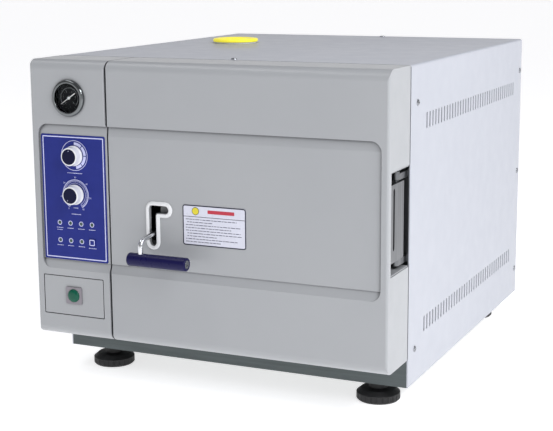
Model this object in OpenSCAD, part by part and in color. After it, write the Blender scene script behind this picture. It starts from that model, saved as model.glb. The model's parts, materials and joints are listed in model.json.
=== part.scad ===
// Benchtop steam steriliser with a front door hinged on the right.
// Each module draws one separate piece of the machine, in millimetres.
// Inside in_body(), x runs to the right of the middle of the machine, y runs back from the front
// face and z runs up from the underside of the base tray.

/* [Body] */
// Overall width of the casing
body_w = 480; // [470:5:500]
// Depth from the front face to the rear panel
body_d = 596; // [590:2:610]
// Height of the casing above the underside of the base tray
body_h = 392; // [388:2:410]
// Height of the levelling feet
feet_h = 28; // [24:1:36]
// Thickness of the folded sheet metal
sheet = 1.5; // [1:0.1:1.6]

/* [Front] */
// Depth of the front housings
front_d = 72; // [72:1:73]
// Height of the lower edge of the front housings above the base tray
front_z = 36; // [30:1:40]
// Rounding of the upper and lower front edges
front_r = 13; // [10:1:16]
// Width of the control housing on the left
control_w = 109; // [108:0.5:110]
// Gap between the control housing and the door
seam = 2; // [2:0.5:3]
// Depth of the recessed band across the front
recess = 3; // [2.5:0.25:3.5]
// Wall of the moulded front housings
shell = 3; // [2.5:0.25:3.5]

/* [Door opening] */
// Width of the handle slot
slot_w = 10; // [9:0.2:10.4]
// Diameter of the handle rod
rod_d = 6.6; // [6:0.2:7]
// Diameter of the handle grip
grip_d = 16.5; // [14:0.5:18]
// Length of the handle grip
grip_l = 81; // [70:1:90]
// How far the grip stands in front of the front face
handle_reach = 29; // [27:1:34]
// Height of the door hinge notch
notch_h = 123; // [122:1:126]

/* [Chamber] */
// Inside radius of the chamber
chamber_r = 125; // [124:0.5:125]
// Wall of the chamber
chamber_t = 3; // [2.5:0.25:3]
// Inside length of the chamber
chamber_l = 500; // [480:5:500]
// Width of one instrument tray
tray_w = 190; // [170:2:190]
// Length of one instrument tray
tray_l = 400; // [360:10:400]
// Height of one instrument tray
tray_h = 25; // [20:1:28]

/* [Vents and fittings] */
// Slots in one row of side vents
vent_count = 36; // [20:1:36]
// Width of one vent slot
vent_w = 4; // [3:0.25:5]
// Height of one vent slot
vent_h = 20; // [16:1:22]
// Radius of the filler cap
cap_r = 33; // [31:0.5:36]
// How far the fittings stand out behind the rear panel
rear_reach = 30; // [30:1:36]

/* [Hidden] */
$fn = 72;
eps = 0.01;

// Place of the front face, so that the whole machine is centred front to back
front_reach = handle_reach + grip_d / 2;
face_y = -(body_d + rear_reach - front_reach) / 2;

// Casing, base tray and fronts
half_w = body_w / 2;
casing_y = front_d + 3;
fold_r = 3;
panel_y = body_d - sheet;
base_wall_h = 24;
base_front_h = 62;
control_x = -half_w + control_w;
door_x = control_x + seam;
front_top = body_h;
front_h = front_top - front_z;
cavity_y = 8;

// Casing screws: places along y and z on the sides, x and y on the top, x and z on the rear
side_screws = [[100, 346], [100, 43], [586, 345], [586, 192], [586, 38]];
top_screws = [[5, 86], [20, 584]];
rear_screws = [[-228, 20], [-228, 372], [0, 372], [228, 20], [228, 372], [0, 12]];
screw_r = 2;
screw_l = 5;

// Rows of side vents
vent_first = 134;
vent_pitch = 11.8;
vent_rows = [56, 311];

// Recessed band: a step down at the top, a bevel, a flat panel and a shallow slope at the foot
band_top = 311.5;
band_bevel = 299;
band_crease = 136;
band_foot = 125;
band_step = 5;
band_left = -230.4;
band_right = 231;
band_r = 13;
groove_w = 1.2;
groove_d = 1.6;

// Dials, lamps and keys on the control housing
gauge_x = -183;
gauge_z = 345;
gauge_r = 23;
gauge_hole_r = 20.5;
dial_x = -179;
thermostat_z = 272.5;
timer_z = 223;
knob_r = 12.2;
knob_front = -9.6;
cap_front = -11.2;
cap_disc_r = 9.8;
spindle_r = 3;
lamp_x = [-204.3, -188.3, -172.3, -156.3];
lamp_z = [185.2, 162.4];
lamp_r = 2.6;
key_x = lamp_x[3];
key_z = lamp_z[1];
key_w = 9;
key_travel = 0.8;
plate_x = -185.4;
plate_z = 90.2;
plate_w = 88;
plate_h = 49.8;
button_x = -185;
button_z = 91.2;
button_r = 8.5;

// Handle slot, handle and latch
slot_x = -68;
slot_low = 171;
slot_high = 212;
slot_end = -50.5;
slot_trim_w = 5;
latch_y = 40;
latch_z = 186;
latch_r = 5;
rod_tilt = 7;
grip_y = -handle_reach;
grip_z = 154.5;
grip_x = -85;
rod_bend_r = 9;
bend_swell = 0.1;
bend_lap = 0.8;

// Chamber and door closure
chamber_x = 74;
chamber_z = 214;
mouth_y = 48;
flange_r = 136;
ring_r = 143;
ring_bolt_r = 137;
frame_y = 82;
lid_r = 130;
seal_in = 119;
seal_out = 127;
beam_y = 12;
beam_d = 12;
beam_left = -50;

// Trays: shelf heights from the chamber's axis, front of the trays and places of the rack's hoops
shelf_z = [-62, -12, 38];
tray_y = 120;
rack_y = [132, 500];

// Door hinge
hinge_x = 230.5;
hinge_y = 50;
hinge_r = 3;
knuckle_r = 5;
leaf_low = 167;
leaf_high = 259;
ear_gap = 1.5;
ear_h = 7.5;
notch_low = 152.5;
notch_y = 9;

// Water tank and filler
tank_x = -230;
tank_y = 300;
tank_z = 130;
tank_size = [135, 240, 240];
tank_t = 2.5;
filler_x = -136;
filler_y = 378;
neck_r = 24;
float_x = -190;
float_y = 460;
stem_r = 3;

// Rear fittings
inlet_x = -170;
inlet_z = 60;
drain_x = -60;
drain_z = 50;
valve_x = 150;
valve_z = 330;

// Levelling feet
foot_x = 192;
foot_front = 104;
foot_rear = 532;
foot_r = 27.5;
stud_r = 4;

fit = 0.05;

// ---------------------------------------------------------------- helpers

module in_body() {
    translate([0, face_y, feet_h]) children();
}

// An outline drawn as seen from the front, filling y0 to y1
module front_plate(y0, y1) {
    translate([0, y1, 0]) rotate([90, 0, 0]) linear_extrude(y1 - y0) children();
}

// An outline drawn in y and z, filling x0 to x1
module side_plate(x0, x1) {
    translate([x0, 0, 0]) rotate([90, 0, 90]) linear_extrude(x1 - x0) children();
}

module rod_x(r, x0, x1) {
    translate([x0, 0, 0]) rotate([0, 90, 0]) cylinder(r = r, h = x1 - x0);
}

module rod_y(r, y0, y1) {
    translate([0, y1, 0]) rotate([90, 0, 0]) cylinder(r = r, h = y1 - y0);
}

module rod_z(r, z0, z1) {
    translate([0, 0, z0]) cylinder(r = r, h = z1 - z0);
}

module box(low, high) {
    translate(low) cube(high - low);
}

// Rectangle with rounded corners between two opposite corners
module rounded(low, high, r) {
    translate([low[0] + r, low[1]]) square([high[0] - low[0] - 2 * r, high[1] - low[1]]);
    translate([low[0], low[1] + r]) square([high[0] - low[0], high[1] - low[1] - 2 * r]);
    for (x = [low[0] + r, high[0] - r])
        for (y = [low[1] + r, high[1] - r])
            translate([x, y]) circle(r);
}

// A ring about the chamber's axis, turned from an outline of radius and depth
module turned_about_chamber() {
    translate([chamber_x, 0, chamber_z]) rotate([-90, 0, 0]) rotate_extrude($fn = 96) children();
}

// ---------------------------------------------------------------- fixed frame

module foot_places() {
    for (x = [-foot_x, foot_x])
        for (y = [foot_front, foot_rear])
            translate([x, y, 0]) children();
}

// Folded tray with a tall front wall and a threaded boss over each levelling foot
module base_tray() {
    inner = half_w - sheet;
    color("gainsboro") in_body() difference() {
        union() {
            box([-inner, casing_y, 0], [inner, panel_y, sheet]);
            box([-inner, casing_y, 0], [inner, casing_y + sheet, base_front_h]);
            box([-inner, panel_y - sheet, 0], [inner, panel_y, base_wall_h]);
            for (x = [-inner, inner - sheet])
                box([x, casing_y, 0], [x + sheet, panel_y, base_wall_h]);
            foot_places() rod_z(9, sheet, 9);
        }
        foot_places() rod_z(stud_r + fit, -1, 10);
        for (s = rear_screws)
            translate([s[0], 0, s[1]]) rod_y(screw_r, panel_y - 2 * sheet, panel_y + 1);
    }
}

// Upright plate that carries the chamber, flanged down both sides and notched over the tray walls
module front_frame() {
    edge = half_w - sheet;
    plate_t = 2;
    flange_d = 16;
    window_low = [-226, 66];
    window_high = [-146, 384];
    color("silver") in_body() difference() {
        intersection() {
            union() {
                front_plate(frame_y, frame_y + plate_t) translate([-edge, sheet])
                    square([2 * edge, body_h]);
                for (x = [-edge, edge - plate_t])
                    box([x, frame_y, sheet], [x + plate_t, frame_y + flange_d, body_h]);
            }
            front_plate(frame_y - 1, frame_y + flange_d + 1) casing_outline(sheet);
        }
        for (x = [-edge - 1, edge - plate_t])
            box([x, frame_y - 1, 0], [x + plate_t + 1, frame_y + flange_d + 1, base_wall_h]);
        front_plate(frame_y - 1, frame_y + plate_t + 1) rounded(window_low, window_high, 6);
        translate([chamber_x, 0, chamber_z])
            rod_y(chamber_r + chamber_t + 1, frame_y - 1, frame_y + plate_t + 1);
    }
}

// Outline of the folded casing as seen from the front, with the thickness t taken off
module casing_outline(t) {
    w = half_w - t;
    r = fold_r - t * 0.9;
    translate([-w, -1]) square([2 * w, body_h - t - r + 1]);
    translate([-w + r, 0]) square([2 * w - 2 * r, body_h - t]);
    for (x = [-w + r, w - r])
        translate([x, body_h - t - r]) circle(r);
}

// One row of upright slots with round ends, drawn in y and z
module vent_row(low) {
    for (i = [0 : vent_count - 1]) {
        y = vent_first + i * vent_pitch;
        rounded([y, low], [y + vent_w, low + vent_h], vent_w * 0.49);
    }
}

module casing() {
    color("white") in_body() difference() {
        front_plate(casing_y, body_d) intersection() {
            casing_outline(0);
            translate([-half_w, 0]) square([body_w, body_h]);
        }
        front_plate(casing_y - 1, body_d + 1) casing_outline(sheet);
        side_plate(-half_w - 1, half_w + 1)
            for (low = vent_rows)
                vent_row(low);
        for (s = side_screws)
            translate([0, s[0], s[1]]) rod_x(screw_r, -half_w - 1, half_w + 1);
        for (s = top_screws)
            translate([s[0], s[1], 0]) rod_z(screw_r, body_h - 4, body_h + 1);
        translate([filler_x, filler_y, 0]) rod_z(neck_r + 3.5, body_h - 4, body_h + 1);
    }
}

module rear_panel() {
    edge = half_w - sheet;
    color("gainsboro") in_body() difference() {
        front_plate(panel_y, body_d) difference() {
            translate([-edge, sheet]) square([2 * edge, body_h - 2 * sheet]);
            translate([inlet_x - 14, inlet_z - 11]) square([28, 22]);
            translate([drain_x, drain_z]) circle(7.2);
            translate([valve_x, valve_z]) circle(11);
            for (i = [0 : 17])
                rounded([-72 + i * 9, 150], [-68 + i * 9, 210], 1.9);
        }
        for (s = rear_screws)
            translate([s[0], 0, s[1]]) rod_y(screw_r, panel_y - 1, body_d + 1);
    }
}

// Pan-head screw along z, its head above z = 0
module pan_screw() {
    difference() {
        rotate_extrude($fn = 32) polygon([
            [0, -screw_l], [screw_r, -screw_l], [screw_r, 0], [4, 0],
            [3.6, 0.9], [2.4, 1.5], [0, 1.5],
        ]);
        box([-2.2, -0.4, 0.7], [2.2, 0.4, 2]);
        box([-0.4, -2.2, 0.7], [0.4, 2.2, 2]);
    }
}

module case_screws() {
    color("darkgray") in_body() {
        for (s = side_screws) {
            translate([half_w, s[0], s[1]]) rotate([0, 90, 0]) pan_screw();
            translate([-half_w, s[0], s[1]]) rotate([0, -90, 0]) pan_screw();
        }
        for (s = top_screws)
            translate([s[0], s[1], body_h]) pan_screw();
        for (s = rear_screws)
            translate([s[0], body_d, s[1]]) rotate([-90, 0, 0]) pan_screw();
    }
}

// ---------------------------------------------------------------- fronts

// Side outline of a front housing, drawn in y and z, with its wall thickness taken off
module front_outline(t, back) {
    r = front_r - t;
    translate([front_r, front_z + t]) square([back - front_r, front_h - 2 * t]);
    translate([t, front_z + front_r]) square([front_r - t + eps, front_h - 2 * front_r]);
    for (z = [front_z + front_r, front_top - front_r])
        translate([front_r, z]) circle(r);
}

// Outline of a front housing seen from above, with roundings r0 and r1 on its front corners
module plan_outline(x0, x1, r0, r1) {
    translate([x0 + r0, 0]) square([x1 - x0 - r0 - r1, front_d]);
    translate([x0, r0]) square([r0 + eps, front_d - r0]);
    translate([x1 - r1 - eps, r1]) square([r1 + eps, front_d - r1]);
    translate([x0 + r0, r0]) circle(r0);
    translate([x1 - r1, r1]) circle(r1);
}

// Hollow housing open at the back, between two places across the front
module front_shell(x0, x1, r0, r1) {
    difference() {
        intersection() {
            side_plate(x0, x1) front_outline(0, front_d);
            translate([0, 0, front_z]) linear_extrude(front_h) plan_outline(x0, x1, r0, r1);
        }
        side_plate(x0 + shell, x1 - shell) difference() {
            front_outline(shell, front_d + 1);
            translate([0, band_foot - 6]) square([cavity_y, band_top - band_foot + 12]);
        }
        recess_band();
    }
}

// The space taken out of the front by the recessed band
module recess_band() {
    intersection() {
        side_plate(-half_w, half_w) polygon([
            [-1, band_top], [band_step, band_top], [recess, band_bevel],
            [recess, band_crease + 1], [recess + 1.2, band_crease + 0.6],
            [recess + 1.2, band_crease], [0, band_foot], [-1, band_foot],
        ]);
        front_plate(-2, cavity_y)
            rounded([band_left, band_foot], [band_right, band_top + eps], band_r);
    }
}

// Narrow straight groove along the right end of the band
module recess_groove() {
    box([band_right - groove_w, recess - 1, band_foot + band_r],
        [band_right, recess + groove_d, band_top - band_r - 1]);
}

module control_housing() {
    color("silver") in_body() difference() {
        front_shell(-half_w, control_x, 3, 2.5);
        translate([gauge_x, 0, gauge_z]) rod_y(gauge_hole_r, -1, cavity_y);
        for (z = [thermostat_z, timer_z])
            translate([dial_x, 0, z]) rod_y(5.2, -1, cavity_y + 1);
        for (p = lamp_places())
            translate([p[0], 0, p[1]]) rod_y(lamp_r + 0.1, -1, cavity_y + 1);
        front_plate(-1, cavity_y + 1) translate([key_x - key_w / 2 - 0.3, key_z - key_w / 2 - 0.3])
            square(key_w + 0.6);
        front_plate(-1, 2.2) rounded(
            [plate_x - plate_w / 2 - 1, plate_z - plate_h / 2 - 1],
            [plate_x + plate_w / 2 + 1, plate_z + plate_h / 2 + 1], 1.5);
        translate([button_x, 0, button_z]) rod_y(10.2, -1, cavity_y);
    }
}

function lamp_places() = [
    for (row = [0, 1])
        for (i = [0 : 3])
            if (row == 0 || i < 3) [lamp_x[i], lamp_z[row]]
];

module control_overlay() {
    low = [-228, 137.2];
    high = [-134, 298.4];
    color("darkslateblue") in_body() front_plate(recess - 0.6, recess) difference() {
        rounded(low, high, 2);
        for (z = [thermostat_z, timer_z])
            translate([dial_x, z]) circle(5);
        for (p = lamp_places())
            translate(p) circle(lamp_r + 0.1);
        translate([key_x - key_w / 2 - 0.3, key_z - key_w / 2 - 0.3]) square(key_w + 0.6);
    }
}

module indicator_lamps() {
    color("whitesmoke") in_body()
        for (p = lamp_places())
            translate([p[0], 0, p[1]]) difference() {
                rod_y(lamp_r, recess - 1.6, 14);
                rod_y(lamp_r - 0.9, recess - 2, recess - 1);
            }
}

module start_key() {
    color("lavender") in_body() {
        front_plate(1.2, 8) translate([key_x - key_w / 2, key_z - key_w / 2]) square(key_w);
        translate([key_x, 0, key_z]) rod_y(2, 8 - eps, 14 - key_travel - 0.1);
    }
}

module control_board() {
    color("seagreen") in_body() {
        front_plate(14, 15.6) translate([-234, 148]) square([98, 52]);
        for (x = [-230, -140])
            for (z = [152, 196])
                translate([x, 0, z]) rod_y(2.5, cavity_y, 14 + eps);
        box([-200, 15.6 - eps, 160], [-170, 24, 184]);
        box([-162, 15.6 - eps, 156], [-150, 20, 168]);
    }
}

module gauge_case() {
    color("dimgray") in_body() translate([gauge_x, 0, gauge_z]) {
        difference() {
            rod_y(20, -2, 30);
            rod_y(18.6, -3, 28);
        }
        rod_y(5, 30 - eps, 40);
    }
}

module gauge_bezel() {
    color("silver") in_body() translate([gauge_x, 0, gauge_z]) rotate([-90, 0, 0])
        rotate_extrude() polygon([
            [18.5, -3.2], [18.5, -4], [19.2, -4.5], [21.6, -4.5],
            [gauge_r, -3.2], [gauge_r, 0], [20, 0], [20, -3.2],
        ]);
}

module gauge_lens() {
    color("lightcyan") in_body() translate([gauge_x, 0, gauge_z]) rod_y(20, -3.2, -2);
}

module gauge_dial() {
    color("black") in_body() translate([gauge_x, 0, gauge_z]) difference() {
        rod_y(18.6, 2, 3);
        rod_y(0.8 + fit, 1, 4);
    }
}

// The needle points down and to the left at rest
module gauge_needle() {
    rest_angle = 214;
    color("white") in_body() translate([gauge_x, 0, gauge_z]) {
        rotate([0, -rest_angle, 0]) front_plate(0.4, 1)
            polygon([[-6, -0.8], [15, -0.3], [15, 0.3], [-6, 0.8]]);
        rod_y(2, 0.2, 1.2);
        rod_y(0.8, 1.2 - eps, 6);
    }
}

// Control body behind the panel with a bush for its spindle
module dial_body(z, size) {
    translate([dial_x, 0, z]) difference() {
        union() {
            box([-size[0] / 2, cavity_y, -size[1] / 2], [size[0] / 2, size[2], size[1] / 2]);
            rod_y(5, recess, cavity_y + eps);
        }
        rod_y(spindle_r + fit, 0, size[2] - 6);
    }
}

// Knob with its spindle, its skirt resting just clear of the panel
module dial_knob(z) {
    translate([dial_x, 0, z]) {
        rotate([-90, 0, 0]) rotate_extrude() polygon([
            [0, knob_front], [knob_r - 1.4, knob_front], [knob_r - 0.8, knob_front + 0.6],
            [knob_r - 0.4, -2.6], [knob_r + 0.6, -1.8], [knob_r + 0.6, 1.4], [0, 1.4],
        ]);
        rod_y(spindle_r, 1.4 - eps, 30);
    }
}

module dial_cap(z) {
    translate([dial_x, 0, z]) rotate([-90, 0, 0]) rotate_extrude() polygon([
        [0, cap_front], [cap_disc_r - 0.6, cap_front], [cap_disc_r, cap_front + 0.5],
        [cap_disc_r, knob_front], [0, knob_front],
    ]);
}

module thermostat() {
    color("khaki") in_body() dial_body(thermostat_z, [36, 32, 44]);
}

module thermostat_knob() {
    color("whitesmoke") in_body() dial_knob(thermostat_z);
}

module thermostat_cap() {
    color("midnightblue") in_body() dial_cap(thermostat_z);
}

module timer() {
    color("darkkhaki") in_body() dial_body(timer_z, [40, 38, 50]);
}

module timer_knob() {
    color("whitesmoke") in_body() dial_knob(timer_z);
}

module timer_cap() {
    color("midnightblue") in_body() dial_cap(timer_z);
}

module switch_plate() {
    color("silver") in_body() difference() {
        front_plate(0.2, 2.2) rounded(
            [plate_x - plate_w / 2, plate_z - plate_h / 2],
            [plate_x + plate_w / 2, plate_z + plate_h / 2], 1);
        translate([button_x, 0, button_z]) rod_y(10.1, -1, 3);
    }
}

module switch_bezel() {
    color("rosybrown") in_body() difference() {
        union() {
            front_plate(-1.4, 0.2)
                rounded([button_x - 11.5, button_z - 11], [button_x + 11.5, button_z + 11], 1.2);
            translate([button_x, 0, button_z]) rod_y(10, 0.2 - eps, 30);
        }
        translate([button_x, 0, button_z]) rod_y(button_r + 2 * fit, -2, 26);
    }
}

module power_button() {
    color("limegreen") in_body() translate([button_x, 0, button_z])
        rotate([-90, 0, 0]) rotate_extrude() polygon([
            [0, -4.6], [button_r - 3, -4.2], [button_r - 0.8, -3.2],
            [button_r, -2], [button_r, 20], [0, 20],
        ]);
}

// ---------------------------------------------------------------- door

// The handle slot: an upright leg with a short leg to the right at its top
module slot_outline(w) {
    translate([slot_x - w / 2, slot_low]) square([w, slot_high - slot_low]);
    translate([slot_x, slot_high - w / 2]) square([slot_end - slot_x, w]);
    translate([slot_x, slot_low]) circle(w / 2);
    translate([slot_x, slot_high]) circle(w / 2);
    translate([slot_end, slot_high]) circle(w / 2);
}

// Door housing; the notch in its right side is lined by a thin rim and is open at the rear
module door_cover() {
    notch_high = notch_low + notch_h;
    rim_x = half_w - 14;
    rim_t = 1.6;
    color("silver") in_body() difference() {
        union() {
            difference() {
                front_shell(door_x, half_w, 1.5, 3);
                box([half_w - shell - 1, notch_y, notch_low], [half_w + 1, front_d + 1, notch_high]);
            }
            difference() {
                box([rim_x, notch_y, notch_low], [half_w - 1, front_d, notch_high]);
                box([rim_x - 1, notch_y + rim_t, notch_low + rim_t],
                    [half_w, front_d + 1, notch_high - rim_t]);
            }
        }
        front_plate(-1, cavity_y + 1) slot_outline(slot_w);
        recess_groove();
    }
}

module slot_trim() {
    color("gainsboro") in_body() difference() {
        union() {
            front_plate(recess - 1.4, recess) slot_outline(slot_w + 2 * slot_trim_w);
            front_plate(recess - 2.2, recess - 1.4 + eps) slot_outline(slot_w + 2 * slot_trim_w - 2.4);
        }
        front_plate(0, recess + 1) slot_outline(slot_w);
    }
}

module info_plate() {
    color("ghostwhite") in_body() front_plate(recess - 0.4, recess)
        rounded([-26, 171.4], [59.3, 221.2], 3);
}

// Bar that carries the lid, with a hanging arm and two bearing lugs for the latch shaft
module clamp_beam() {
    back = beam_y + beam_d;
    bar_low = chamber_z - 15;
    bar_high = chamber_z + 15;
    color("darkgray") in_body() difference() {
        union() {
            box([beam_left - 12, beam_y, bar_low], [226, back, bar_high]);
            box([beam_left - 12, beam_y + 2, 162], [beam_left - 7, 46, bar_high - 2]);
            box([-122, beam_y + 2, 162], [beam_left - 7, 46, 170]);
            box([-122, 30, 162], [-117, 50, 198]);
            for (x = [-30, 200])
                translate([x, 0, chamber_z]) rod_y(7, cavity_y, beam_y + eps);
        }
        translate([0, latch_y, latch_z]) rod_x(latch_r + fit, -123, beam_left);
        translate([chamber_x, 0, chamber_z]) rod_y(6.1, beam_y - 1, back + 1);
        box([slot_x - 6, beam_y - 1, bar_low - 1], [slot_x + 6, 60, bar_high + 1]);
    }
}

module lid_bolt() {
    color("silver") in_body() translate([chamber_x, 0, chamber_z]) {
        rod_y(6, beam_y - eps, 34);
        translate([0, beam_y, 0]) rotate([90, 0, 0]) cylinder(r = 10, h = 3.4, $fn = 6);
    }
}

module door_lid() {
    boss_y = beam_y + beam_d;
    color("lightgray") in_body() difference() {
        turned_about_chamber() polygon([
            [0, boss_y], [28, boss_y], [30, 30], [lid_r - 14, 33], [lid_r, 37], [lid_r, 46],
            [seal_out, 46], [seal_out, 43], [seal_in, 43], [seal_in, 46], [112, 46], [106, 40], [0, 37],
        ]);
        translate([chamber_x, 0, chamber_z]) rod_y(6, boss_y - 1, 34);
    }
}

module door_seal() {
    lip_y = mouth_y - 0.3;
    color("orangered") in_body() turned_about_chamber() polygon([
        [seal_in, 43], [seal_out, 43], [seal_out, 46.5],
        [seal_out - 2, lip_y], [seal_in + 2, lip_y], [seal_in, 46.5],
    ]);
}

// Channel on the end of the beam: an outer plate with an upright slot, and a knuckle on the pin
module hinge_leaf() {
    leaf_x = 226;
    leaf_t = 2.5;
    outer = hinge_x + knuckle_r - 0.4;
    color("dimgray") in_body() difference() {
        union() {
            box([leaf_x, beam_y, leaf_low], [outer + leaf_t, beam_y + leaf_t, leaf_high]);
            box([leaf_x, beam_y, leaf_low], [leaf_x + leaf_t, hinge_y - 9, leaf_high]);
            box([leaf_x, hinge_y - 10, leaf_low], [hinge_x, hinge_y, leaf_high]);
            box([outer, beam_y, leaf_low], [outer + leaf_t, hinge_y + 10, leaf_high]);
            translate([hinge_x, hinge_y, 0]) rod_z(knuckle_r, leaf_low, leaf_high);
        }
        translate([hinge_x, hinge_y, 0]) rod_z(hinge_r + fit, leaf_low - 1, leaf_high + 1);
        side_plate(outer - 1, outer + leaf_t + 1)
            rounded([23, leaf_low + 14], [28.5, leaf_high - 5], 2.6);
    }
}

// Fixed bracket with an ear above and below the knuckle
module hinge_bracket() {
    lower = leaf_low - ear_gap - ear_h;
    upper = leaf_high + ear_gap;
    color("slategray") in_body() difference() {
        union() {
            box([219, frame_y - 4, lower - 1], [238, frame_y, upper + ear_h + 1]);
            for (z = [lower, upper]) {
                box([hinge_x - knuckle_r, hinge_y, z], [hinge_x + knuckle_r, frame_y - 3, z + ear_h]);
                translate([hinge_x, hinge_y, 0]) rod_z(knuckle_r, z, z + ear_h);
            }
        }
        translate([hinge_x, hinge_y, 0]) rod_z(hinge_r, lower - 1, upper + ear_h + 1);
    }
}

module hinge_pin() {
    seat = leaf_high + ear_gap + ear_h;
    color("silver") in_body() translate([hinge_x, hinge_y, 0]) {
        rod_z(hinge_r, leaf_low - ear_gap - ear_h, seat);
        rod_z(hinge_r + 1.8, seat, seat + 2.5);
    }
}

// Shaft with the hook forged on; the hook tip stops just under the keeper bar
module latch_shaft() {
    tip_z = 195.2;
    color("silver") in_body() {
        translate([0, latch_y, latch_z]) rod_x(latch_r, -121.5, beam_left - 7.5);
        side_plate(-114, -104) difference() {
            union() {
                translate([latch_y, latch_z]) circle(8.5);
                polygon([
                    [latch_y, latch_z - 7.5], [70, latch_z - 7.5], [70, tip_z],
                    [65, tip_z], [64, latch_z + 2], [latch_y, latch_z + 2],
                ]);
            }
            translate([latch_y, latch_z]) circle(latch_r - 1);
        }
    }
}

module latch_keeper() {
    color("slategray") in_body() {
        box([-122, frame_y - 3, 190], [-96, frame_y, 236]);
        for (x = [-122, -99])
            box([x, 57, 197], [x + 3, frame_y - 3 + eps, 207]);
        box([-122, 57, 197], [-96, 62.5, 207]);
    }
}

// Rod from the latch shaft out through the slot, then down to the grip; the bend is a hair
// thicker than its two legs, which run a little way into it
module handle_rod() {
    corner_z = latch_z - (latch_y - grip_y) * tan(rod_tilt);
    turn = 90 - rod_tilt;
    tangent = rod_bend_r * tan(turn / 2);
    straight = (latch_y - grip_y) / cos(rod_tilt) - tangent;
    r = rod_d / 2;
    color("silver") in_body() difference() {
        union() {
            translate([0, latch_y, latch_z]) rod_x(9, slot_x - 3.6, slot_x + 3.6);
            translate([slot_x, latch_y, latch_z]) rotate([rod_tilt, 0, 0])
                rod_y(r, -straight - bend_lap, -6);
            translate([slot_x, grip_y + rod_bend_r, corner_z - tangent]) rotate([90, 0, 270])
                rotate_extrude(angle = turn) translate([rod_bend_r, 0]) circle(r + bend_swell);
            translate([slot_x, grip_y, 0]) rod_z(r, grip_z, corner_z - tangent + bend_lap);
        }
        translate([0, latch_y, latch_z]) rod_x(latch_r, slot_x - 10, slot_x + 10);
    }
}

module handle_grip() {
    r = grip_d / 2;
    color("navy") in_body() translate([grip_x, grip_y, grip_z]) difference() {
        rotate([0, 90, 0]) rotate_extrude() polygon([
            [0, 0], [r - 1.5, 0], [r, 1.5], [r, grip_l - 1.5], [r - 1.5, grip_l], [0, grip_l],
        ]);
        translate([slot_x - grip_x, 0, 0]) rod_z(rod_d / 2, 0, r + 1);
        rod_x(5.2, grip_l - 3, grip_l + 1);
    }
}

module grip_screw() {
    color("silver") in_body() translate([grip_x + grip_l, grip_y, grip_z]) difference() {
        rod_x(5.2, -3, -0.4);
        translate([-2, 0, 0]) rotate([0, 90, 0]) cylinder(r = 2.9, h = 3, $fn = 6);
    }
}

// ---------------------------------------------------------------- chamber

module chamber_vessel() {
    out = chamber_r + chamber_t;
    back = mouth_y + chamber_l;
    color("lightgray") in_body() difference() {
        turned_about_chamber() polygon([
            [chamber_r, mouth_y], [flange_r, mouth_y], [flange_r, mouth_y + 8], [out, mouth_y + 8],
            [out, frame_y - 6], [ring_r, frame_y - 6], [ring_r, frame_y], [out, frame_y],
            [out, back], [out - 22, back + 14], [0, back + 19],
            [0, back + 16], [chamber_r - 21, back + 11], [chamber_r, back],
        ]);
        ring_places() rod_y(2.5, frame_y - 7, frame_y + 1);
        translate([chamber_x, 0, chamber_z + 30]) rod_y(4, back, back + 30);
        translate([chamber_x, 0, chamber_z - 70]) rod_y(4, back, back + 30);
    }
}

module ring_places() {
    for (i = [0 : 7])
        translate([chamber_x, 0, chamber_z]) rotate([0, 22.5 + i * 45, 0])
            translate([ring_bolt_r, 0, 0]) children();
}

module ring_bolts() {
    color("darkgray") in_body() ring_places() {
        rod_y(2.5, frame_y - 6, frame_y);
        translate([0, frame_y - 6, 0]) rotate([90, 0, 0]) cylinder(r = 4.6, h = 3.5, $fn = 6);
    }
}

module heater_bands() {
    out = chamber_r + chamber_t;
    color("goldenrod") in_body()
        for (y = [150, 330])
            turned_about_chamber() translate([out, y]) square([3, 80]);
}

module insulation_jacket() {
    color("lightyellow") in_body()
        turned_about_chamber() translate([chamber_r + chamber_t + 3.4, 92]) square([18, 448]);
}

// Two hoops of flat bar joined by a shelf strip under each side of each tray
module tray_rack() {
    bar = 2;
    bar_w = 14;
    strip_w = 12;
    inner = tray_w / 2 + 1;
    outer = inner + bar;
    color("silver") in_body() translate([chamber_x, 0, chamber_z]) {
        for (y = rack_y) {
            for (x = [-outer, inner])
                box([x, y, -66], [x + bar, y + bar_w, 66]);
            box([-outer, y, -68], [outer, y + bar_w, -64]);
        }
        for (z = shelf_z)
            for (x = [-outer, outer - strip_w])
                box([x, tray_y, z - bar], [x + strip_w, tray_y + tray_l, z]);
    }
}

module tray(level) {
    t = 1.2;
    low = shelf_z[level];
    color("silver") in_body() translate([chamber_x, tray_y, chamber_z + low]) difference() {
        box([-tray_w / 2, 0, 0], [tray_w / 2, tray_l, tray_h]);
        box([-tray_w / 2 + t, t, t], [tray_w / 2 - t, tray_l - t, tray_h + 1]);
        for (i = [0 : 7])
            for (j = [0 : 3])
                translate([-60 + j * 40, 50 + i * 43, 0]) rod_z(4, -1, t + 1);
    }
}

module lower_tray() {
    tray(0);
}

module middle_tray() {
    tray(1);
}

module upper_tray() {
    tray(2);
}

// ---------------------------------------------------------------- water and steam

module water_tank() {
    top = tank_z + tank_size[2];
    low = [tank_x, tank_y, tank_z];
    wall = [tank_t, tank_t, tank_t];
    color("aliceblue") in_body() difference() {
        union() {
            box(low, low + tank_size);
            translate([filler_x, filler_y, 0]) rod_z(neck_r + 3, top - eps, body_h);
            translate([filler_x, filler_y, 0]) rod_z(neck_r + 7, body_h, body_h + 2);
        }
        difference() {
            box(low + wall, low + tank_size - wall);
            translate([float_x, float_y, 0]) rod_z(stem_r, tank_z, top);
        }
        translate([filler_x, filler_y, 0]) rod_z(neck_r, top - tank_t - 1, body_h + 3);
        translate([-160, 500, 0]) rod_z(4, tank_z - 1, tank_z + tank_t + 1);
    }
}

module tank_float() {
    color("orange") in_body() translate([float_x, float_y, 0]) difference() {
        rotate_extrude() polygon([
            [0, 138], [14, 138], [18, 143], [18, 170], [14, 175], [0, 175],
        ]);
        rod_z(stem_r + 0.1, 130, 180);
    }
}

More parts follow.
